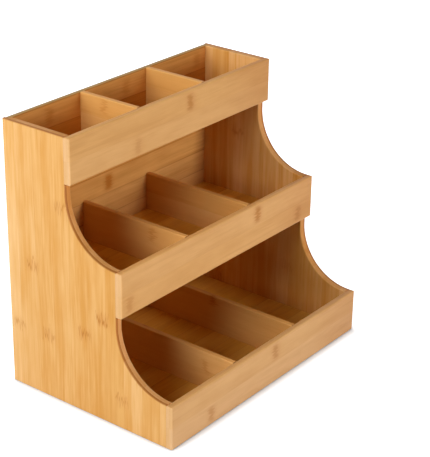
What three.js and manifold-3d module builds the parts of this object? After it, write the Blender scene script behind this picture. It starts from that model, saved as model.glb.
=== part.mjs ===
// Stepped tea bag organizer in laminated bamboo. Three tiers of open-topped bins rise towards a
// full-height back panel. Two side panels, scalloped between the tiers, carry the shelves in housings
// and the front panels on dowels, and thin dividers part each tier into bins.
// Millimetres, +Z up, the front faces -Y. The origin is the middle of the footprint, on the floor.

import * as THREE from "three";
import { mergeVertices } from "three/addons/utils/BufferGeometryUtils.js";
import Module from "manifold-3d";

const wasm = await Module();
wasm.setup();

// Overall sizes
const WIDTH = 305; // over the side panels
const DEPTH = 204; // face of the bottom front panel to the rear of the back panel
const TIER_STEP = 60; // each tier's front stands this far behind the one below
const TIER_RISE = 116; // and its floor this much higher
const FRONT_HEIGHT = 46; // front panels, from the underside of their tier's floor
const TIER_NAMES = ["bottom", "middle", "top"];
const FLOOR_NAMES = ["base_panel", "middle_shelf", "top_shelf"];
const DIVIDER_NAMES = ["left", "right"];

// Board thicknesses
const SIDE_THICKNESS = 8.5;
const FRONT_THICKNESS = 7;
const BACK_THICKNESS = 5;
const FLOOR_THICKNESS = 5;
const DIVIDER_THICKNESS = 6;

// Shaped edges
const SCALLOP_STRAIGHT = 10; // plain edge left between a scallop and the front panel above it
const EDGE_RADIUS = 1.2; // eased edges of the sides, back and dividers, and the front panels' corners
const FACE_RADIUS = 2; // fuller rounding round the face of a front panel
const ROUNDING_FLATS = 4; // flats in a rounded edge
const SCALLOP_FLATS = 36; // flats in one scallop

// Joinery
const GLUE_GAP = 0.1; // between glued faces
const FLOOR_HOUSING = 3; // depth of a floor's housing in a side panel
const BACK_REBATE = 4.5; // width of the back panel's rebate in a side panel
const TONGUE_LENGTH = 1.5; // a divider's tongues in the front and back panels
const TONGUE_SHOULDER = 6; // the tongues stop this far below the divider's top edge
const DOWEL_DIAMETER = 4;
const DOWEL_IN_SIDE = 11.5; // length of a dowel inside the side panel
const DOWEL_SKIN = 2.5; // wood left between a dowel and the front panel's face
const DOWEL_ABOVE_FLOOR = 6; // lower dowel's axis, above the tier's floor
const DOWEL_BELOW_TOP = 10; // upper dowel's axis, below the front panel's top edge
const DOWEL_CHAMFER = 0.6;
const DOWEL_SIDES = 12;

// Places that several boards share
const LAST_TIER = TIER_NAMES.length - 1;
const HEIGHT = LAST_TIER * TIER_RISE + FRONT_HEIGHT;
const OUTER = WIDTH / 2;
const INNER = OUTER - SIDE_THICKNESS;
const REAR = DEPTH / 2;
const BACK_FACE = REAR - BACK_THICKNESS;
const BIN_WIDTH = (2 * INNER - DIVIDER_NAMES.length * DIVIDER_THICKNESS) / (DIVIDER_NAMES.length + 1);
const SIDE_MIDDLE = OUTER - SIDE_THICKNESS / 2;

// Of each tier: the face of its front panel, the edge of the side panels behind that panel, the
// underside of its floor, and the clear depth from the rear of its front panel to the back panel.
const tierFace = (tier) => -REAR + tier * TIER_STEP;
const sideEdge = (tier) => tierFace(tier) + FRONT_THICKNESS + GLUE_GAP;
const tierBottom = (tier) => tier * TIER_RISE;
const binDepth = (tier) => BACK_FACE - tierFace(tier) - FRONT_THICKNESS;

// Left face of a divider
const dividerLeft = (index) => -INNER + BIN_WIDTH + index * (BIN_WIDTH + DIVIDER_THICKNESS);

// Heights of the dowels above the underside of a tier
const DOWEL_HEIGHTS = {
  lower: FLOOR_THICKNESS + DOWEL_ABOVE_FLOOR,
  upper: FRONT_HEIGHT - DOWEL_BELOW_TOP,
};

// Clear satin bamboo, a little different from board to board, and pale hardwood dowels
const bamboo = (color) => new THREE.MeshStandardMaterial({ color, roughness: 0.45, metalness: 0 });
const SIDE_BAMBOO = bamboo(0xe5b26b);
const FRONT_BAMBOO = bamboo(0xd9a869);
const BACK_BAMBOO = bamboo(0xcb965a);
const FLOOR_BAMBOO = bamboo(0xc48c50);
const DIVIDER_BAMBOO = bamboo(0xd2a065);
const DOWEL_WOOD = new THREE.MeshStandardMaterial({ color: 0xe0bf8c, roughness: 0.7, metalness: 0 });

// A closed geometry as a solid that can be cut and joined.
function solidOf(geometry) {
  const bare = geometry.clone();
  bare.deleteAttribute("normal");
  bare.deleteAttribute("uv");
  const merged = mergeVertices(bare);
  const vertProperties = merged.attributes.position.array;
  const triVerts = new Uint32Array(merged.index.array);
  return new wasm.Manifold(new wasm.Mesh({ numProp: 3, vertProperties, triVerts }));
}

// A solid back as a geometry for a mesh.
function geometryOf(solid) {
  const { vertProperties, triVerts } = solid.getMesh();
  const geometry = new THREE.BufferGeometry();
  geometry.setAttribute("position", new THREE.BufferAttribute(vertProperties, 3));
  geometry.setIndex(new THREE.BufferAttribute(triVerts, 1));
  geometry.computeVertexNormals();
  return geometry;
}

// A square-edged block between two values on each axis, given in either order.
function block([x0, x1], [y0, y1], [z0, z1]) {
  const geometry = new THREE.BoxGeometry(Math.abs(x1 - x0), Math.abs(y1 - y0), Math.abs(z1 - z0));
  geometry.translate((x0 + x1) / 2, (y0 + y1) / 2, (z0 + z1) / 2);
  return solidOf(geometry);
}

// A rectangle with a radius at each corner, in order: low-low, high-low, high-high, low-high.
function roundedRectangle([u0, u1], [v0, v1], [lowLow, highLow, highHigh, lowHigh]) {
  const quarter = Math.PI / 2;
  const outline = new THREE.Shape();
  outline.moveTo(u0 + lowLow, v0);
  outline.absarc(u1 - highLow, v0 + highLow, highLow, -quarter, 0);
  outline.absarc(u1 - highHigh, v1 - highHigh, highHigh, 0, quarter);
  outline.absarc(u0 + lowHigh, v1 - lowHigh, lowHigh, quarter, 2 * quarter);
  outline.absarc(u0 + lowLow, v0 + lowLow, lowLow, 2 * quarter, 3 * quarter);
  return outline;
}

// Turns that stand an extrusion's own axis along X, with the outline drawn in Y and Z, or along -Y,
// with the outline drawn in X and Z.
const X = new THREE.Vector3(1, 0, 0);
const Y = new THREE.Vector3(0, 1, 0);
const Z = new THREE.Vector3(0, 0, 1);
const ALONG_X = new THREE.Matrix4().makeBasis(Y, Z, X);
const ALONG_MINUS_Y = new THREE.Matrix4().makeBasis(X, Z, Y.clone().negate());

// An outline carried straight along one axis between two places, with square ends.
function boardAlongX(outline, [from, to]) {
  const options = { depth: to - from, bevelEnabled: false, curveSegments: ROUNDING_FLATS / 2 };
  return solidOf(new THREE.ExtrudeGeometry(outline, options).applyMatrix4(ALONG_X).translate(from, 0, 0));
}

function boardAlongY(outline, [from, to]) {
  const options = { depth: to - from, bevelEnabled: false, curveSegments: ROUNDING_FLATS / 2 };
  const geometry = new THREE.ExtrudeGeometry(outline, options).applyMatrix4(ALONG_MINUS_Y);
  return solidOf(geometry.translate(0, to, 0));
}

function boardAlongZ(outline, [from, to]) {
  const options = { depth: to - from, bevelEnabled: false, curveSegments: ROUNDING_FLATS / 2 };
  return solidOf(new THREE.ExtrudeGeometry(outline, options).translate(0, 0, from));
}

// A dowel's bore, lying along Y and centred on the mouth that it is drilled from.
function bore(x, mouth, z, depth) {
  const radius = DOWEL_DIAMETER / 2 + GLUE_GAP;
  const geometry = new THREE.CylinderGeometry(radius, radius, 2 * depth, DOWEL_SIDES);
  return solidOf(geometry.translate(x, mouth, z));
}

// A side panel's outline in Y and Z, with the ends of the front panels still in it, so that its edges
// are eased in one run. Each scallop is a quarter of an ellipse: level where it leaves a front panel's
// top edge, upright where it reaches the plain edge under the next front panel.
function sideOutline() {
  const outline = new THREE.Shape();
  outline.moveTo(REAR, 0);
  TIER_NAMES.forEach((_, tier) => {
    const top = tierBottom(tier) + FRONT_HEIGHT;
    outline.lineTo(tierFace(tier), tierBottom(tier));
    outline.lineTo(tierFace(tier), top);
    outline.lineTo(sideEdge(tier), top);
    if (tier < LAST_TIER) {
      const scallopTop = tierBottom(tier + 1) - SCALLOP_STRAIGHT;
      outline.absellipse(sideEdge(tier), scallopTop, TIER_STEP, scallopTop - top, -Math.PI / 2, 0);
      outline.lineTo(sideEdge(tier + 1), tierBottom(tier + 1));
    }
  });
  outline.lineTo(REAR, HEIGHT);
  return outline;
}

// The left side panel (side -1) or the right one (side 1), eased along every edge, then cut for the
// front panels, the floors, the back panel and the dowels.
function sidePanel(side) {
  const options = {
    depth: SIDE_THICKNESS - 2 * EDGE_RADIUS,
    curveSegments: SCALLOP_FLATS / 2,
    bevelThickness: EDGE_RADIUS,
    bevelSize: EDGE_RADIUS,
    bevelOffset: -EDGE_RADIUS,
    bevelSegments: ROUNDING_FLATS,
  };
  const blank = new THREE.ExtrudeGeometry(sideOutline(), options).applyMatrix4(ALONG_X);
  const lowX = side < 0 ? -OUTER : INNER;
  let panel = solidOf(blank.translate(lowX + EDGE_RADIUS, 0, 0));

  const housing = [side * (INNER - FLOOR_HOUSING), side * (INNER + FLOOR_HOUSING)];
  const rebate = [side * (INNER - BACK_REBATE), side * (INNER + BACK_REBATE)];
  const backSeat = [BACK_FACE - GLUE_GAP, REAR + BACK_THICKNESS];
  panel = panel.subtract(block(rebate, backSeat, [-BACK_REBATE, HEIGHT + BACK_REBATE]));

  TIER_NAMES.forEach((_, tier) => {
    const bottom = tierBottom(tier);
    const frontSeat = [tierFace(tier) - FRONT_THICKNESS, sideEdge(tier)];
    const frontSpan = [bottom - FRONT_THICKNESS, bottom + FRONT_HEIGHT + FRONT_THICKNESS];
    const wholeWidth = [side * (INNER - SIDE_THICKNESS), side * (OUTER + SIDE_THICKNESS)];
    panel = panel.subtract(block(wholeWidth, frontSeat, frontSpan));

    const floorSpan = [bottom - GLUE_GAP, bottom + FLOOR_THICKNESS + GLUE_GAP];
    panel = panel.subtract(block(housing, [tierFace(tier), BACK_FACE], floorSpan));

    for (const height of Object.values(DOWEL_HEIGHTS)) {
      panel = panel.subtract(bore(side * SIDE_MIDDLE, sideEdge(tier), bottom + height, DOWEL_IN_SIDE));
    }
  });
  return panel;
}

// The stopped grooves that take the dividers' tongues, cut into a face at the given place along Y.
function tongueGrooves(face, tierZ) {
  const grooves = DIVIDER_NAMES.map((_, index) => {
    const left = dividerLeft(index);
    const across = [left - GLUE_GAP, left + DIVIDER_THICKNESS + GLUE_GAP];
    const into = [face - TONGUE_LENGTH, face + TONGUE_LENGTH];
    const up = [tierZ + FLOOR_THICKNESS, tierZ + FRONT_HEIGHT - TONGUE_SHOULDER + GLUE_GAP];
    return block(across, into, up);
  });
  return grooves.reduce((all, groove) => all.add(groove));
}

// The back panel, eased along its top and its rear foot, grooved for the dividers of every tier.
function backPanel() {
  const outline = roundedRectangle([BACK_FACE, REAR], [0, HEIGHT], [0, EDGE_RADIUS, EDGE_RADIUS, EDGE_RADIUS]);
  const reach = INNER + BACK_REBATE - GLUE_GAP;
  const blank = boardAlongX(outline, [-reach, reach]);
  return TIER_NAMES.reduce(
    (panel, _, tier) => panel.subtract(tongueGrooves(BACK_FACE, tierBottom(tier))),
    blank,
  );
}

// A front panel in its tier's own frame, whose origin is the foot of the panel's face. Three outlines
// cross: the end view rounds the long edges, the plan rounds the ends of the face, and the face view
// rounds the four corners.
function frontPanel() {
  const across = [-OUTER, OUTER];
  const through = [0, FRONT_THICKNESS];
  const up = [0, FRONT_HEIGHT];
  const endView = roundedRectangle(through, up, [FACE_RADIUS, 0, EDGE_RADIUS, FACE_RADIUS]);
  const plan = roundedRectangle(across, through, [FACE_RADIUS, FACE_RADIUS, 0, 0]);
  const faceView = roundedRectangle(across, up, [EDGE_RADIUS, EDGE_RADIUS, EDGE_RADIUS, EDGE_RADIUS]);
  let panel = boardAlongX(endView, across);
  panel = panel.intersect(boardAlongZ(plan, up));
  panel = panel.intersect(boardAlongY(faceView, through));
  panel = panel.subtract(tongueGrooves(FRONT_THICKNESS, 0));
  for (const x of [-SIDE_MIDDLE, SIDE_MIDDLE]) {
    for (const height of Object.values(DOWEL_HEIGHTS)) {
      panel = panel.subtract(bore(x, FRONT_THICKNESS, height, FRONT_THICKNESS - DOWEL_SKIN));
    }
  }
  return panel;
}

// A tier's floor in the tier's frame, with its ends in the side panels' housings.
function floorPanel(tier) {
  const reach = INNER + FLOOR_HOUSING - GLUE_GAP;
  const front = FRONT_THICKNESS + GLUE_GAP;
  const rear = FRONT_THICKNESS + binDepth(tier) - GLUE_GAP;
  return block([-reach, reach], [front, rear], [0, FLOOR_THICKNESS]);
}

// A divider with its left face at X = 0 and the rest in the tier's frame. Its top edge is eased and
// its tongues are shouldered, so that only a plain butt shows from above.
function divider(tier) {
  const foot = FLOOR_THICKNESS + GLUE_GAP;
  const shoulder = FRONT_HEIGHT - TONGUE_SHOULDER;
  const front = FRONT_THICKNESS + GLUE_GAP;
  const rear = FRONT_THICKNESS + binDepth(tier) - GLUE_GAP;
  const outline = new THREE.Shape();
  outline.moveTo(front - TONGUE_LENGTH, foot);
  outline.lineTo(rear + TONGUE_LENGTH, foot);
  outline.lineTo(rear + TONGUE_LENGTH, shoulder);
  outline.lineTo(rear, shoulder);
  outline.lineTo(rear, FRONT_HEIGHT);
  outline.lineTo(front, FRONT_HEIGHT);
  outline.lineTo(front, shoulder);
  outline.lineTo(front - TONGUE_LENGTH, shoulder);
  const blank = boardAlongX(outline, [0, DIVIDER_THICKNESS]);
  const across = [0, DIVIDER_THICKNESS];
  const endView = roundedRectangle(across, [foot, FRONT_HEIGHT], [0, 0, EDGE_RADIUS, EDGE_RADIUS]);
  return blank.intersect(boardAlongY(endView, [front - TONGUE_LENGTH, rear + TONGUE_LENGTH]));
}

// A dowel standing along Y from the bottom of its bore in the front panel, chamfered at both ends.
function dowelGeometry() {
  const radius = DOWEL_DIAMETER / 2;
  const length = FRONT_THICKNESS - DOWEL_SKIN - GLUE_GAP + DOWEL_IN_SIDE;
  const profile = [
    new THREE.Vector2(0, 0),
    new THREE.Vector2(radius - DOWEL_CHAMFER, 0),
    new THREE.Vector2(radius, DOWEL_CHAMFER),
    new THREE.Vector2(radius, length - DOWEL_CHAMFER),
    new THREE.Vector2(radius - DOWEL_CHAMFER, length),
    new THREE.Vector2(0, length),
  ];
  return new THREE.LatheGeometry(profile, DOWEL_SIDES);
}

function named(name, geometry, material) {
  const mesh = new THREE.Mesh(geometry, material);
  mesh.name = name;
  return mesh;
}

const organizer = new THREE.Group();
organizer.name = "tea_bag_organizer";
organizer.add(named("left_side_panel", geometryOf(sidePanel(-1)), SIDE_BAMBOO));
organizer.add(named("right_side_panel", geometryOf(sidePanel(1)), SIDE_BAMBOO));
organizer.add(named("back_panel", geometryOf(backPanel()), BACK_BAMBOO));

const frontGeometry = geometryOf(frontPanel());
const dowelShape = dowelGeometry();

TIER_NAMES.forEach((tierName, tier) => {
  const group = new THREE.Group();
  group.position.set(0, tierFace(tier), tierBottom(tier));
  group.add(named(`${tierName}_front_panel`, frontGeometry, FRONT_BAMBOO));
  group.add(named(FLOOR_NAMES[tier], geometryOf(floorPanel(tier)), FLOOR_BAMBOO));

  const dividerGeometry = geometryOf(divider(tier));
  DIVIDER_NAMES.forEach((dividerName, index) => {
    const board = named(`${tierName}_divider_${dividerName}`, dividerGeometry, DIVIDER_BAMBOO);
    board.position.x = dividerLeft(index);
    group.add(board);
  });

  for (const [sideName, x] of [["left", -SIDE_MIDDLE], ["right", SIDE_MIDDLE]]) {
    for (const [place, height] of Object.entries(DOWEL_HEIGHTS)) {
      const dowel = named(`${tierName}_dowel_${sideName}_${place}`, dowelShape, DOWEL_WOOD);
      dowel.position.set(x, DOWEL_SKIN + GLUE_GAP, height);
      group.add(dowel);
    }
  }
  organizer.add(group);
});

export default organizer;
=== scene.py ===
"""Stepped tea bag organizer in laminated bamboo: the finish of every board, the floor, light and camera."""
import math
from types import SimpleNamespace

import bpy
from mathutils import Matrix, Vector


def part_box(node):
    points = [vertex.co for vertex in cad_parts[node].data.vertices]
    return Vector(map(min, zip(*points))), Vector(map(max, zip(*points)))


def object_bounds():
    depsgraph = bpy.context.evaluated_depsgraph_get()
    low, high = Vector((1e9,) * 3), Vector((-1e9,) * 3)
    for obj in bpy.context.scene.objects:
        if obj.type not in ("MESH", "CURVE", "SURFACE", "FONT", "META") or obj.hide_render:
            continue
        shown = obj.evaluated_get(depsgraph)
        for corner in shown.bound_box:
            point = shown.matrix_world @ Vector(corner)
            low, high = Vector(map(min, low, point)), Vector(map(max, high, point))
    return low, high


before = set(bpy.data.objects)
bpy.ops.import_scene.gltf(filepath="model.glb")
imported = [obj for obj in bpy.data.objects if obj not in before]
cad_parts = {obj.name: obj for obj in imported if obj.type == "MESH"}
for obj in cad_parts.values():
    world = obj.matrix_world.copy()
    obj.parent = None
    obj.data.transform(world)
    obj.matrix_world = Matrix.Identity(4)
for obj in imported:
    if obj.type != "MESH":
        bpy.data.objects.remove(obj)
cad_low, cad_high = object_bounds()


def rgba(red, green, blue):
    """An opaque colour, or a tint that multiplies one."""
    return (red, green, blue, 1.0)


WHITE = rgba(1.0, 1.0, 1.0)
UNTINTED = rgba(1.0, 1.0, 1.0)

# The photograph's frame and viewpoint, in pixels, degrees and metres
IMAGE_HEIGHT = 457
FOCAL_PIXELS = 1443.4
SENSOR_MM = 36.0
CAMERA_AZIMUTH = -52.49
CAMERA_ELEVATION = 24.62
CAMERA_ROLL = 0.975
CAMERA_AIM = (0.0071, -0.0252, 0.1473)
CAMERA_DISTANCE = 1.428

# Soft boxes that face the object's middle, in degrees, metres and watts
SOFT_BOXES = [
    dict(name="left_wash", azimuth=-109, elevation=20, distance=2.2, width=0.7, height=1.0, watts=17),
    dict(name="key", azimuth=-87, elevation=25, distance=1.6, width=0.67, height=0.8, watts=13.1),
    dict(name="front_fill", azimuth=9, elevation=11, distance=2.2, width=0.6, height=1.0, watts=28),
    dict(name="right_fill", azimuth=92, elevation=8, distance=2.2, width=1.0, height=1.0, watts=14),
    dict(name="back_fill", azimuth=178, elevation=10, distance=2.2, width=1.2, height=1.2, watts=12),
    dict(name="top_light", azimuth=175, elevation=68, distance=2.2, width=1.4, height=1.0, watts=18),
]

# The floor, in metres. Its glow grows between these distances from the middle and these strengths, and it
# fades by occlusion where the object covers the floor, within the reach below: a painted contact shadow.
FLOOR_HALF = 12.0
FLOOR_TONE = rgba(0.74, 0.80, 0.86)
GLOW_STRETCH = (0.5, 1.5)
GLOW_STRENGTHS = (0.8, 1.0)
PAINTED_SHADOW_REACH = 0.009
PAINTED_SHADOW_POWER = 2.0

# Laminated bamboo, in metres: strips glued edge to edge in two plies, with a knuckle now and then
SEAM_WIDTH = 0.0009
FIBRE_DRIFT = 0.006
KNUCKLE_SPACING = 0.23
KNUCKLE_HALO = 0.012
KNUCKLE_BOW = 0.004

# Noises in the cane, with their bumps per metre along the grain and both ways across it. The streaks' bumps
# along the grain go by the kind of board.
DRIFT_NOISE = dict(bumps=(8.0, 45.0, 45.0))
BAND_NOISE = dict(bumps=(5.0, 90.0, 90.0))
CLOUD_NOISE = dict(bumps=(25.0, 60.0, 60.0))
PLAINNESS_NOISE = dict(bumps=(9.0, 50.0, 50.0))
STREAK_NOISE = dict(detail=3.0, roughness=0.6)
STREAK_BUMPS_ACROSS = 300.0
THREAD_NOISE = dict(bumps=(30.0, 1500.0, 1500.0), roughness=0.6)
VEIN_NOISE = dict(bumps=(6.0, 190.0, 190.0), detail=0.0)
KNUCKLE_NOISE = dict(bumps=(26.0, 650.0, 650.0), detail=1.0)
PORE_NOISE = dict(bumps=(500.0, 2400.0, 2400.0))

# How much each noise darkens the fibres. A rise is the stretch of a noise over which a mark comes in, or
# goes from the first of its two weights to the second. On a cut end the fibres fade by END_FADE.
BAND_WEIGHT = 1.4
STREAK_RISE = (-0.2, 0.2)
STREAK_WEIGHTS = (0.5, 2.2)
THREAD_WEIGHT = 0.8
VEIN_RISE = (0.17, 0.33)
VEIN_WEIGHT = 0.5
SEAM_RISE = (-0.15, 0.2)
SEAM_WEIGHTS = (0.4, 1.0)
PORE_RISE = (-0.05, 0.2)
END_FADE = 0.7

# A known knuckle fades between these shares of a strip's width from its place, and ends at this many halos
# along the grain. One by chance grows to its strongest while its strip's draw goes over CHANCE_RISE. A core
# is full over a share of its reach, and glints come in over a stretch of the knuckle's noise.
KNUCKLE_SIDES = (0.2, 0.5)
KNUCKLE_HALOS = 2.0
CHANCE_RISE = (0.3, 0.9)
CHANCE_STRONGEST = 0.7
CORE_FULL = 0.3
GLINT_RISE = (-0.02, -0.16)

# A face is an eased corner while the part of its normal through the board lies between these two stretches
EASED_RISE = (0.05, 0.3)
EASED_FALL = (0.9, 0.99)

# Tints of the palest and the deepest strip, of knuckles and their glints, of seams and pores, of the painted
# highlight on eased corners, and of cut ends that are let into other boards
STRIP_PALE = rgba(1.18, 1.38, 2.10)
STRIP_DEEP = rgba(0.90, 0.81, 0.55)
KNUCKLE_TINT = rgba(0.70, 0.51, 0.27)
KNUCKLE_GLINT = rgba(1.07, 1.10, 1.18)
SEAM_TINT = rgba(0.66, 0.50, 0.38)
PORE_TINT = rgba(0.95, 0.93, 0.90)
# painted highlight on the eased corners
EASED_HIGHLIGHT = rgba(1.05, 1.09, 1.16)
HIDDEN_END = rgba(0.8, 0.7, 0.6)

# Satin lacquer: its roughness, what streaks and cut ends add to that, and its gloss. Under it lies a relief
# of this strength and depth, in metres, to which each mark gives its share.
LACQUER_ROUGHNESS = 0.45
STREAK_ROUGHNESS = 0.2
END_ROUGHNESS = 0.15
LACQUER_GLOSS = {"Specular IOR Level": 0.12, "Coat Weight": 0.04, "Coat Roughness": 0.3}
LACQUER_RELIEF = dict(strength=0.25, depth=0.0003)
THREAD_RELIEF = 0.5
STREAK_RELIEF = 0.5
SEAM_RELIEF = -0.5
KNUCKLE_RELIEF = 0.4

# Bare hardwood of the hidden dowels, whose grain runs along Y
DOWEL_NOISE = dict(bumps=(900.0, 40.0, 900.0), detail=3.0)
DOWEL_LIGHT = rgba(0.75, 0.56, 0.33)
DOWEL_DARK = rgba(0.60, 0.40, 0.20)
DOWEL_ROUGHNESS = 0.7
GRAIN_ROUGHNESS = 0.2
DOWEL_RELIEF = dict(strength=0.2, depth=0.0002)

# Each kind of board, in metres:
# grain, across and through are the ways that its fibres, its strips and its plies run
# figure is how plain the fibres are, clouds is the weight of soft clouds among them, and streaks is how many
# bumps per metre the streaks have along the grain
# strip is a strip's width, first is how far into the board the first whole strip begins, tones is how much
# the strips differ, seams is how plain the glue lines are, and outer_ply is the outer ply's share
# core is a knuckle's reach along the grain, ragged is how far its fibres stray, and stain is its even share
# light and dark are the palest and the deepest fibre
# edge and end are the tints of the long edges and of the cut ends, and rind is the outer ply's tint on both;
# the back's edge tint is a painted grey reflection on its top and bottom edges
KINDS = {
    "side": dict(
        grain="Z", across="Y", through="X",
        figure=1.2, clouds=0.8, streaks=12.0,
        strip=0.0219, first=0.0069, tones=0.6, seams=0.08, outer_ply=0.35,
        core=0.003, ragged=0.04, stain=0.25,
        light=rgba(0.735, 0.404, 0.130), dark=rgba(0.634, 0.294, 0.059),
        edge=rgba(0.98, 0.80, 0.75), end=rgba(0.82, 0.74, 0.76), rind=rgba(0.66, 0.52, 0.34),
    ),
    "front": dict(
        grain="X", across="Z", through="Y",
        figure=0.85, clouds=1.6, streaks=26.0,
        strip=0.023, first=0.0, tones=0.15, seams=0.07, outer_ply=0.5,
        core=0.0055, ragged=0.014, stain=0.45,
        light=rgba(0.742, 0.386, 0.140), dark=rgba(0.657, 0.322, 0.104),
        edge=rgba(0.90, 0.87, 0.76), end=rgba(1.0, 1.14, 1.40), rind=UNTINTED,
    ),
    "back": dict(
        grain="X", across="Z", through="Y",
        figure=0.9, clouds=1.2, streaks=18.0,
        strip=0.0235, first=0.0185, tones=0.8, seams=1.0, outer_ply=0.5,
        core=0.007, ragged=0.014, stain=0.45,
        light=rgba(0.720, 0.338, 0.079), dark=rgba(0.566, 0.241, 0.047),
        # edge: a painted grey reflection on the back's top and bottom edges
        edge=rgba(0.62, 0.88, 1.55), end=HIDDEN_END, rind=UNTINTED,
    ),
    "floor": dict(
        grain="X", across="Y", through="Z",
        figure=0.65, clouds=1.5, streaks=18.0,
        strip=0.0225, first=0.009, tones=0.6, seams=0.4, outer_ply=0.5,
        core=0.004, ragged=0.02, stain=0.3,
        light=rgba(0.860, 0.490, 0.082), dark=rgba(0.690, 0.350, 0.048),
        edge=UNTINTED, end=HIDDEN_END, rind=UNTINTED,
    ),
    "divider": dict(
        grain="Y", across="Z", through="X",
        figure=0.5, clouds=1.4, streaks=22.0,
        strip=0.0205, first=0.0, tones=0.25, seams=0.1, outer_ply=0.5,
        core=0.004, ragged=0.02, stain=0.3,
        light=rgba(0.735, 0.395, 0.120), dark=rgba(0.630, 0.312, 0.079),
        edge=rgba(1.0, 0.92, 0.84), end=HIDDEN_END, rind=UNTINTED,
    ),
}

# The knuckles that a board is known by, as (along the grain, across it, strength), in metres. They lie on
# its first ply: the left one of a side or a divider, and the front one of a front or the back.
KNUCKLES = {
    "left_side_panel": [
        (0.138, 0.070, 0.75), (0.068, 0.091, 0.65), (0.068, 0.052, 0.75), (0.086, 0.005, 0.8),
        (0.109, -0.018, 1.0), (0.030, -0.041, 0.65), (0.207, 0.031, 0.6),
    ],
    "right_side_panel": [(0.192, 0.051, 0.7), (0.053, -0.020, 0.4), (0.011, 0.075, 0.6)],
    "back_panel": [
        (-0.013, 0.171, 1.0), (-0.095, 0.265, 0.5), (0.015, 0.265, 0.45), (0.130, 0.265, 0.45),
    ],
    "top_front_panel": [(0.021, 0.266, 0.8), (-0.057, 0.243, 0.35)],
    "middle_front_panel": [(0.056, 0.151, 0.95), (0.127, 0.1275, 0.6), (-0.141, 0.1275, 0.5)],
    "bottom_front_panel": [(0.0095, 0.0345, 0.65), (-0.093, 0.0115, 0.6)],
    "top_divider_left": [(0.067, 0.270, 0.45)],
    "middle_divider_left": [(0.007, 0.152, 0.5)],
    "bottom_divider_left": [(-0.062, 0.030, 0.45)],
    "bottom_divider_right": [(0.006, 0.042, 0.7)],
}
# Boards that are paler or deeper than their kind, apart from their cut ends
BOARD_TINTS = {
    "bottom_front_panel": rgba(1.00, 1.06, 1.19),
    "middle_front_panel": rgba(1.06, 1.08, 1.08),
    "top_front_panel": rgba(1.01, 1.01, 0.94),
}
# Painted shade: the front boards darken towards their right ends, where less light falls, over this stretch,
# in metres
FRONT_SHADE_STRETCH = (0.05, 0.16)
FRONT_PAINTED_SHADE = rgba(0.86, 0.77, 0.69)
# Draws that lay the paler strips where these boards have them
CHOSEN_SEEDS = {"left_side_panel": 379, "back_panel": 130, "right_side_panel": 37}

# The sockets of a Mix node for colours, by number, because their names repeat
MIX_SHARE = 0
MIX_FIRST = 6
MIX_SECOND = 7
MIX_RESULT = 2


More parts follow.
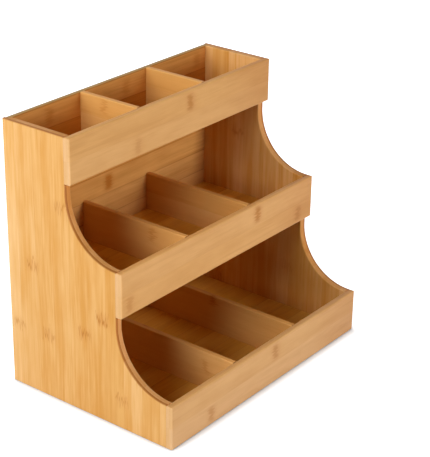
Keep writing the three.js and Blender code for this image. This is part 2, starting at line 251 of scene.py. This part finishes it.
class Wiring:
    """Adds nodes to one shader tree. Any input may be a number, a colour or another node's output."""

    def __init__(self, tree):
        self.tree = tree

    def feed(self, socket, value):
        """Links another node's output to a socket, or sets the socket's own value."""
        if isinstance(value, bpy.types.NodeSocket):
            self.tree.links.new(value, socket)
        else:
            socket.default_value = value

    def add(self, kind, inputs=None, **settings):
        """A new node with these settings, and with these inputs by name."""
        node = self.tree.nodes.new(kind)
        for name, value in settings.items():
            setattr(node, name, value)
        for name, value in (inputs or {}).items():
            self.feed(node.inputs[name], value)
        return node

    def math(self, operation, *values):
        """One step of arithmetic on numbers."""
        node = self.add("ShaderNodeMath", operation=operation)
        for socket, value in zip(node.inputs, values):
            self.feed(socket, value)
        return node.outputs[0]

    def minus(self, first, second):
        """The first number less the second."""
        return self.math("SUBTRACT", first, second)

    def times(self, first, second):
        """The product of two numbers."""
        return self.math("MULTIPLY", first, second)

    def weighted(self, start, *terms):
        """The start value plus the product of each (value, weight) pair."""
        total = start
        for value, weight in terms:
            total = self.math("MULTIPLY_ADD", value, weight, total)
        return total

    def ramp(self, value, start, end, low=0.0, high=1.0):
        """Smooth step from low to high while value goes from start to end."""
        inputs = {"Value": value, "From Min": start, "From Max": end, "To Min": low, "To Max": high}
        return self.add("ShaderNodeMapRange", inputs, interpolation_type="SMOOTHSTEP").outputs[0]

    def mix(self, share, first, second, blend="MIX"):
        """From the first colour to the second, by a share from 0 to 1."""
        node = self.add("ShaderNodeMix", data_type="RGBA", blend_type=blend, clamp_factor=True)
        self.feed(node.inputs[MIX_SHARE], share)
        self.feed(node.inputs[MIX_FIRST], first)
        self.feed(node.inputs[MIX_SECOND], second)
        return node.outputs[MIX_RESULT]

    def tint(self, share, colour, tint):
        """Multiplies a colour by the given share of a tint."""
        return self.mix(share, colour, tint, blend="MULTIPLY")

    def vector(self, x, y, z):
        """Three numbers as one vector."""
        return self.add("ShaderNodeCombineXYZ", {"X": x, "Y": y, "Z": z}).outputs[0]

    def split(self, vector):
        """A vector's three numbers, by the names of their axes."""
        node = self.add("ShaderNodeSeparateXYZ", {"Vector": vector})
        return dict(zip("XYZ", node.outputs))

    def scaled(self, vector, factors):
        """A vector times one factor for each axis."""
        node = self.add("ShaderNodeVectorMath", operation="MULTIPLY")
        self.feed(node.inputs[0], vector)
        self.feed(node.inputs[1], factors)
        return node.outputs[0]

    def noise(self, vector, bumps, detail=2.0, roughness=0.5):
        """Noise about 0, with its own number of bumps per metre along each axis."""
        place = self.scaled(vector, bumps)
        inputs = {"Vector": place, "Scale": 1.0, "Detail": detail, "Roughness": roughness}
        return self.minus(self.add("ShaderNodeTexNoise", inputs).outputs["Fac"], 0.5)

    def object_place(self):
        """Where a point is in the object's own frame, in metres."""
        return self.add("ShaderNodeTexCoord").outputs["Object"]

    def relief(self, height, strength, depth):
        """The normal of a surface with this height on it, at the given strength and depth in metres."""
        inputs = {"Strength": strength, "Distance": depth, "Height": height}
        return self.add("ShaderNodeBump", inputs).outputs[0]

    def surface(self, colour, roughness, normal, gloss=None):
        """Ends the tree in one shader, with the gloss as more of its inputs."""
        inputs = {"Base Color": colour, "Roughness": roughness, "Normal": normal}
        shader = self.add("ShaderNodeBsdfPrincipled", inputs | (gloss or {}))
        self.add("ShaderNodeOutputMaterial", {"Surface": shader.outputs[0]})


def new_material(name):
    """An empty node material, and the wiring that fills it."""
    material = bpy.data.materials.new(name)
    material.use_nodes = True
    material.node_tree.nodes.clear()
    return material, Wiring(material.node_tree)


def lay_strips(wire, board, node_name, seed):
    """Parts a board into strips and plies. Each strip has three draws and a stretch of cane of its own."""
    low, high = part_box(node_name)
    across_axis = "XYZ".index(board["across"])
    through_axis = "XYZ".index(board["through"])
    through_low = low[through_axis]
    through_high = high[through_axis]
    outer_thickness = board["outer_ply"] * (through_high - through_low)
    outer_is_high = abs(through_high) > abs(through_low)
    glue_line = through_high - outer_thickness if outer_is_high else through_low + outer_thickness
    first_seam = low[across_axis] + board["first"]

    place = wire.split(wire.object_place())
    along, across, through = (place[board[way]] for way in ("grain", "across", "through"))
    second_ply = wire.math("GREATER_THAN", through, glue_line)
    first_ply = wire.minus(1.0, second_ply)
    strip_place = wire.math("DIVIDE", wire.minus(across, first_seam), board["strip"])
    strip = wire.math("FLOOR", strip_place)
    from_middle = wire.minus(wire.math("FRACT", strip_place), 0.5)
    from_seam = wire.minus(0.5, wire.math("ABSOLUTE", from_middle))
    dice_place = wire.vector(strip, second_ply, seed)
    dice = wire.add("ShaderNodeTexWhiteNoise", {"Vector": dice_place}, noise_dimensions="3D")
    draws = wire.add("ShaderNodeSeparateColor", {"Color": dice.outputs["Color"]}).outputs
    drift = wire.noise(wire.vector(along, across, through), **DRIFT_NOISE)
    cane_along = wire.math("ADD", along, draws[0])
    cane_across = wire.weighted(across, (drift, FIBRE_DRIFT))
    return SimpleNamespace(
        along=along, across=across, first_ply=first_ply, second_ply=second_ply,
        outer_ply=second_ply if outer_is_high else first_ply,
        from_middle=from_middle,
        seam_away=wire.times(from_seam, board["strip"]),
        start_draw=draws[0], tone_draw=draws[1], knuckle_draw=draws[2],
        cane=wire.vector(cane_along, cane_across, through),
    )


def draw_fibres(wire, board, strips):
    """The fibres' darkness about 0: soft bands and clouds, streaks that are plainer here and there, fine
    threads and dark veins. The bands, streaks and threads are given by themselves too."""
    bands = wire.noise(strips.cane, **BAND_NOISE)
    clouds = wire.noise(strips.cane, **CLOUD_NOISE)
    streak_bumps = (board["streaks"], STREAK_BUMPS_ACROSS, STREAK_BUMPS_ACROSS)
    streaks = wire.noise(strips.cane, streak_bumps, **STREAK_NOISE)
    plainness = wire.ramp(wire.noise(strips.cane, **PLAINNESS_NOISE), *STREAK_RISE, *STREAK_WEIGHTS)
    threads = wire.noise(strips.cane, **THREAD_NOISE)
    veins = wire.ramp(wire.noise(strips.cane, **VEIN_NOISE), *VEIN_RISE)
    darkness = wire.weighted(
        0.0, (bands, BAND_WEIGHT), (clouds, board["clouds"]), (streaks, plainness),
        (threads, THREAD_WEIGHT), (veins, VEIN_WEIGHT),
    )
    return SimpleNamespace(darkness=darkness, bands=bands, streaks=streaks, threads=threads)


def face_shares(wire, board):
    """How much of a cut end, of a long edge and of an eased corner a face is, by the way that it faces."""
    normal = wire.split(wire.add("ShaderNodeNewGeometry").outputs["Normal"])
    along, across, through = (normal[board[way]] for way in ("grain", "across", "through"))
    facing = wire.math("ABSOLUTE", through)
    rise = wire.ramp(facing, *EASED_RISE)
    fall = wire.ramp(facing, *EASED_FALL, 1.0, 0.0)
    return SimpleNamespace(
        ended=wire.times(along, along),
        edged=wire.times(across, across),
        eased=wire.times(rise, fall),
    )


def knuckle_places(wire, board, strips, known):
    """How far off the closest knuckle is along the grain, in metres, and how strong it is. Known knuckles
    lie on the first ply. The others come by chance, one to a strip every so often, where none are known."""
    bow = wire.times(wire.math("POWER", strips.from_middle, 2.0), KNUCKLE_BOW)
    run = wire.math("ADD", wire.math("DIVIDE", strips.along, KNUCKLE_SPACING), strips.knuckle_draw)
    offset = wire.times(wire.minus(wire.math("FRACT", run), 0.5), KNUCKLE_SPACING)
    strength = wire.ramp(strips.start_draw, *CHANCE_RISE, 0.0, CHANCE_STRONGEST)
    if known:
        strength = wire.times(strength, strips.second_ply)
    fade_start, fade_end = (share * board["strip"] for share in KNUCKLE_SIDES)
    for mark_along, mark_across, mark_strength in known:
        away = wire.minus(strips.along, mark_along)
        aside = wire.math("ABSOLUTE", wire.minus(strips.across, mark_across))
        close = wire.math("LESS_THAN", wire.math("ABSOLUTE", away), KNUCKLE_HALOS * KNUCKLE_HALO)
        here = wire.ramp(aside, fade_start, fade_end, mark_strength, 0.0)
        here = wire.times(wire.times(here, close), strips.first_ply)
        marked = wire.math("GREATER_THAN", here, strength)
        offset = wire.weighted(offset, (marked, wire.minus(away, offset)))
        strength = wire.math("MAXIMUM", strength, here)
    return wire.math("ADD", offset, bow), strength


def knuckle_mark(wire, board, strips, known):
    """How deep a knuckle's stain is, and where its pale glints are: an even halo, and a core whose place
    differs from fibre to fibre."""
    offset, strength = knuckle_places(wire, board, strips, known)
    fibres = wire.noise(strips.cane, **KNUCKLE_NOISE)
    reached = wire.math("ABSOLUTE", wire.weighted(offset, (fibres, board["ragged"])))
    halo = wire.ramp(wire.math("ABSOLUTE", offset), 0.0, KNUCKLE_HALO, 1.0, 0.0)
    core = wire.ramp(reached, CORE_FULL * board["core"], board["core"], 1.0, 0.0)
    stain = wire.weighted(wire.times(halo, board["stain"]), (core, 1.0 - board["stain"]))
    glint = wire.times(halo, wire.ramp(fibres, *GLINT_RISE))
    return wire.times(strength, stain), wire.times(strength, glint)


def glue_seam(wire, strips, fibres):
    """Where the glue lines between the strips are, plainer here and there."""
    line = wire.ramp(strips.seam_away, 0.0, SEAM_WIDTH, 1.0, 0.0)
    return wire.times(line, wire.ramp(fibres.bands, *SEAM_RISE, *SEAM_WEIGHTS))


def fibre_colour(wire, board, fibres, faces):
    """From the palest to the deepest fibre, with a fainter figure on a cut end."""
    figure = wire.times(board["figure"], wire.weighted(1.0, (faces.ended, -END_FADE)))
    darkness = wire.weighted(0.5, (fibres.darkness, figure))
    return wire.mix(darkness, board["light"], board["dark"])


def cut_colour(wire, board, strips, faces, colour):
    """Tints the porous cut ends and the long edges, where the lacquer is thinner, and paints a highlight on
    the eased corners. On the back, the long edges' tint is a painted grey reflection.
    """
    rind = wire.times(strips.outer_ply, wire.math("ADD", faces.ended, faces.edged))
    pores = wire.ramp(wire.noise(strips.cane, **PORE_NOISE), *PORE_RISE)
    colour = wire.tint(faces.ended, colour, board["end"])
    # on the back, this long-edge tint is a painted grey reflection
    colour = wire.tint(faces.edged, colour, board["edge"])
    colour = wire.tint(rind, colour, board["rind"])
    colour = wire.tint(wire.times(faces.ended, pores), colour, PORE_TINT)
    # a painted highlight: the eased corners are lightened and cooled
    return wire.tint(faces.eased, colour, EASED_HIGHLIGHT)


def bamboo(node_name, kind, seed, known):
    """Satin-lacquered laminated bamboo for one board."""
    board = KINDS[kind]
    material, wire = new_material(f"bamboo_{node_name}")
    strips = lay_strips(wire, board, node_name, seed)
    fibres = draw_fibres(wire, board, strips)
    faces = face_shares(wire, board)
    knuckle, glint = knuckle_mark(wire, board, strips, known)
    seam = glue_seam(wire, strips, fibres)

    colour = fibre_colour(wire, board, fibres, faces)
    if node_name in BOARD_TINTS:
        colour = wire.tint(wire.minus(1.0, faces.ended), colour, BOARD_TINTS[node_name])
    # painted shade: darker towards the right ends of the fronts
    if kind == "front":
        colour = wire.tint(wire.ramp(strips.along, *FRONT_SHADE_STRETCH), colour, FRONT_PAINTED_SHADE)
    colour = wire.tint(board["tones"], colour, wire.mix(strips.tone_draw, STRIP_DEEP, STRIP_PALE))
    colour = wire.tint(knuckle, colour, KNUCKLE_TINT)
    colour = wire.tint(glint, colour, KNUCKLE_GLINT)
    colour = wire.tint(wire.times(seam, board["seams"]), colour, SEAM_TINT)
    colour = cut_colour(wire, board, strips, faces, colour)

    roughness = wire.weighted(
        LACQUER_ROUGHNESS, (fibres.streaks, STREAK_ROUGHNESS), (faces.ended, END_ROUGHNESS),
    )
    height = wire.weighted(
        0.0, (fibres.threads, THREAD_RELIEF), (fibres.streaks, STREAK_RELIEF),
        (seam, SEAM_RELIEF), (knuckle, KNUCKLE_RELIEF),
    )
    wire.surface(colour, roughness, wire.relief(height, **LACQUER_RELIEF), LACQUER_GLOSS)
    return material


def dowel_wood():
    """Plain unfinished hardwood for the hidden dowels."""
    material, wire = new_material("dowel_wood")
    grain = wire.noise(wire.object_place(), **DOWEL_NOISE)
    colour = wire.mix(wire.math("ADD", grain, 0.5), DOWEL_LIGHT, DOWEL_DARK)
    roughness = wire.weighted(DOWEL_ROUGHNESS, (grain, GRAIN_ROUGHNESS))
    wire.surface(colour, roughness, wire.relief(grain, **DOWEL_RELIEF))
    return material


def kind_of(node_name):
    """The kind of board that a node is, from its name; a floor is called a base panel or a shelf."""
    for kind in ("side", "front", "back", "divider"):
        if kind in node_name:
            return kind
    return "floor"


def finish_boards():
    """Gives every board its own stretch of bamboo, and the dowels their plain wood."""
    plain = dowel_wood()
    for number, (name, node) in enumerate(sorted(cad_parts.items())):
        if "dowel" in name:
            node.material_slots[0].material = plain
        else:
            seed = CHOSEN_SEEDS.get(name, number)
            node.material_slots[0].material = bamboo(name, kind_of(name), seed, KNUCKLES.get(name, ()))


def seen_directly(wire):
    """1 for the camera and for what gloss or glass shows it, 0 for the light that falls on the object."""
    rays = wire.add("ShaderNodeLightPath").outputs
    seen = wire.math("MAXIMUM", rays["Is Camera Ray"], rays["Is Glossy Ray"])
    return wire.math("MAXIMUM", seen, rays["Is Transmission Ray"])


def make_floor():
    """A plain matt floor, with a glow that makes it white where it is seen. The glow is weaker close to the
    object, so that its shadow shows, and weakest where the object covers the floor: a painted contact
    shadow."""
    half = FLOOR_HALF
    corners = [(-half, -half, 0), (half, -half, 0), (half, half, 0), (-half, half, 0)]
    mesh = bpy.data.meshes.new("floor")
    mesh.from_pydata(corners, [], [(0, 1, 2, 3)])
    floor = bpy.data.objects.new("floor", mesh)
    bpy.context.scene.collection.objects.link(floor)

    material, wire = new_material("floor_white")
    matt = wire.add("ShaderNodeBsdfDiffuse", {"Color": FLOOR_TONE})
    # ambient occlusion dims the glow next to the object: a painted contact shadow
    painted_shadow_openness = wire.add("ShaderNodeAmbientOcclusion", {"Distance": PAINTED_SHADOW_REACH}).outputs["AO"]
    place = wire.object_place()
    away = wire.add("ShaderNodeVectorMath", {"Vector": place}, operation="LENGTH").outputs["Value"]
    strength = wire.times(seen_directly(wire), wire.math("POWER", painted_shadow_openness, PAINTED_SHADOW_POWER))
    strength = wire.times(strength, wire.ramp(away, *GLOW_STRETCH, *GLOW_STRENGTHS))
    glow = wire.add("ShaderNodeEmission", {"Color": WHITE, "Strength": strength})
    both = wire.add("ShaderNodeAddShader")
    wire.feed(both.inputs[0], matt.outputs[0])
    wire.feed(both.inputs[1], glow.outputs[0])
    wire.add("ShaderNodeOutputMaterial", {"Surface": both.outputs[0]})
    mesh.materials.append(material)


def make_background():
    """A white background, which is seen and shows in gloss but throws no light on the object."""
    world = bpy.data.worlds.new("studio")
    bpy.context.scene.world = world
    world.use_nodes = True
    world.node_tree.nodes.clear()
    wire = Wiring(world.node_tree)
    background = wire.add("ShaderNodeBackground", {"Color": WHITE, "Strength": seen_directly(wire)})
    wire.add("ShaderNodeOutputWorld", {"Surface": background.outputs[0]})


def outward(azimuth, elevation):
    """The direction from the object to these angles, in degrees: 0 is in front and minus is to the left."""
    turn = math.radians(azimuth)
    tilt = math.radians(elevation)
    return Vector((math.sin(turn) * math.cos(tilt), -math.cos(turn) * math.cos(tilt), math.sin(tilt)))


def soft_box(name, azimuth, elevation, distance, width, height, watts):
    """A rectangular lamp that faces the object's middle."""
    lamp = bpy.data.lights.new(name, "AREA")
    lamp.shape = "RECTANGLE"
    lamp.size = width
    lamp.size_y = height
    lamp.energy = watts
    box = bpy.data.objects.new(name, lamp)
    bpy.context.scene.collection.objects.link(box)
    back = outward(azimuth, elevation)
    middle = (cad_low + cad_high) / 2
    box.location = middle + distance * back
    box.rotation_euler = back.to_track_quat("Z", "Y").to_euler()


def place_camera():
    """The photograph's camera: it looks at the aim point from the given direction, turned by the roll. The
    picture is taller than it is wide, so the sensor's width runs up it."""
    turn = math.radians(CAMERA_AZIMUTH)
    back = outward(CAMERA_AZIMUTH, CAMERA_ELEVATION)
    right = Vector((math.cos(turn), math.sin(turn), 0))
    up = back.cross(right)
    roll = Matrix.Rotation(math.radians(CAMERA_ROLL), 3, back)
    axes = Matrix((roll @ right, roll @ up, back)).transposed()
    lens = bpy.data.cameras.new("camera")
    lens.sensor_width = SENSOR_MM
    lens.lens = SENSOR_MM * FOCAL_PIXELS / IMAGE_HEIGHT
    camera = bpy.data.objects.new("camera", lens)
    bpy.context.scene.collection.objects.link(camera)
    camera.matrix_world = Matrix.Translation(Vector(CAMERA_AIM) + CAMERA_DISTANCE * back) @ axes.to_4x4()
    bpy.context.scene.camera = camera


finish_boards()
make_floor()
make_background()
for settings in SOFT_BOXES:
    soft_box(**settings)
place_camera()
bpy.context.scene.view_settings.view_transform = "Standard"
